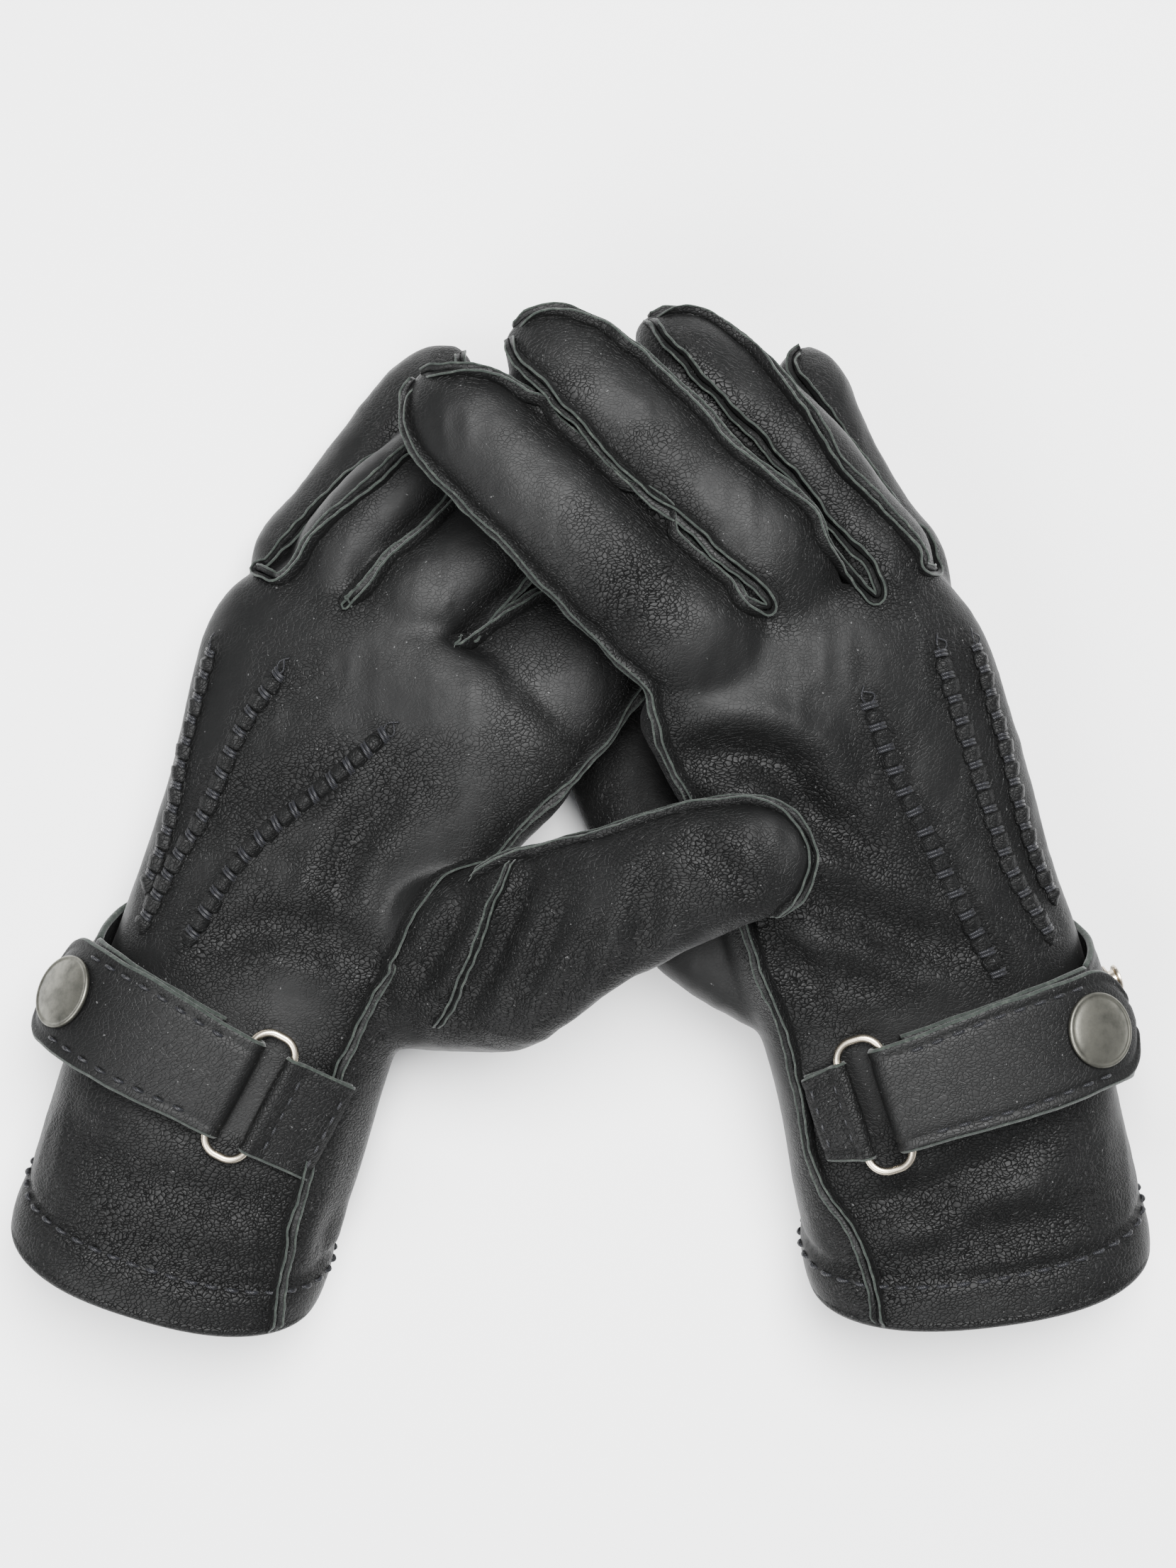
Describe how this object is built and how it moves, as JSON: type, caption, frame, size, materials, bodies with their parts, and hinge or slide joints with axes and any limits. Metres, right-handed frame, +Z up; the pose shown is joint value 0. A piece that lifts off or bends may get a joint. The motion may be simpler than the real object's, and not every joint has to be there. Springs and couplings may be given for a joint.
{
  "type": "pair of leather gloves",
  "caption": "Pair of hand-sewn leather gloves with raised seams, knitted lining, open cuffs and a snapped wrist strap through an oval ring, lying interlocked.",
  "frame": {"origin": "middle of the pair's footprint, on the table the gloves lie on", "axes": "+Z up from the table, +Y the way the fingers point, +X from the left-hand glove to the right-hand glove"},
  "size_m": [0.2602, 0.2304, 0.0725],
  "materials": {
    "leather": "satin black nappa with a fine pebbled grain",
    "raw_edge": "matte cut edge of the leather, grey",
    "lining": "soft dark knitted lining",
    "thread": "waxed black sewing thread",
    "nickel": "satin nickel-plated brass"
  },
  "bodies": {
    "left_glove": {"left_trank": "leather", "left_fourchettes": "leather", "left_thumb": "leather", "left_lining": "lining", "left_hem_fold": "leather", "left_finger_seams": "raw_edge", "left_side_seam": "raw_edge", "left_thumb_seam": "raw_edge", "left_tuck_inner": "leather", "left_tuck_middle": "leather", "left_tuck_outer": "leather", "left_strap_base": "leather", "left_strap_root": "leather", "left_keeper": "leather", "left_snap_stud": "nickel", "left_spare_stud": "nickel", "left_hem_stitches": "thread", "left_keeper_stitches": "thread"},
    "left_ring": {"left_ring": "nickel"},
    "left_flap": {"left_strap_flap": "leather", "left_snap_cap": "nickel", "left_snap_socket": "nickel", "left_strap_stitches": "thread"},
    "right_glove": {"right_trank": "leather", "right_fourchettes": "leather", "right_thumb": "leather", "right_lining": "lining", "right_hem_fold": "leather", "right_finger_seams": "raw_edge", "right_side_seam": "raw_edge", "right_thumb_seam": "raw_edge", "right_tuck_inner": "leather", "right_tuck_middle": "leather", "right_tuck_outer": "leather", "right_strap_base": "leather", "right_strap_root": "leather", "right_keeper": "leather", "right_snap_stud": "nickel", "right_spare_stud": "nickel", "right_hem_stitches": "thread", "right_keeper_stitches": "thread"},
    "right_ring": {"right_ring": "nickel"},
    "right_flap": {"right_strap_flap": "leather", "right_snap_cap": "nickel", "right_snap_socket": "nickel", "right_strap_stitches": "thread"}
  },
  "joints": [
    {"name": "gloves_apart", "type": "slide", "parent": "left_glove", "child": "right_glove", "axis": [1, 0, 0], "range_m": [0, 0.3]},
    {"name": "left_flap_fold", "type": "hinge", "parent": "left_glove", "child": "left_flap", "pos_m": [-0.07798, -0.05827, 0.04556], "axis": [0.4695, 0.8829, 0], "range_deg": [0, 120]},
    {"name": "left_ring_tilt", "type": "hinge", "parent": "left_glove", "child": "left_ring", "pos_m": [-0.06917, -0.06295, 0.04483], "axis": [0.4695, 0.8829, 0], "range_deg": [-2, 2]},
    {"name": "right_flap_fold", "type": "hinge", "parent": "right_glove", "child": "right_flap", "pos_m": [0.06928, -0.06048, 0.05084], "axis": [0.309, -0.9511, 0], "range_deg": [0, 120]},
    {"name": "right_ring_tilt", "type": "hinge", "parent": "right_glove", "child": "right_ring", "pos_m": [0.05989, -0.06352, 0.04925], "axis": [0.309, -0.9511, 0], "range_deg": [-2, 2]}
  ]
}
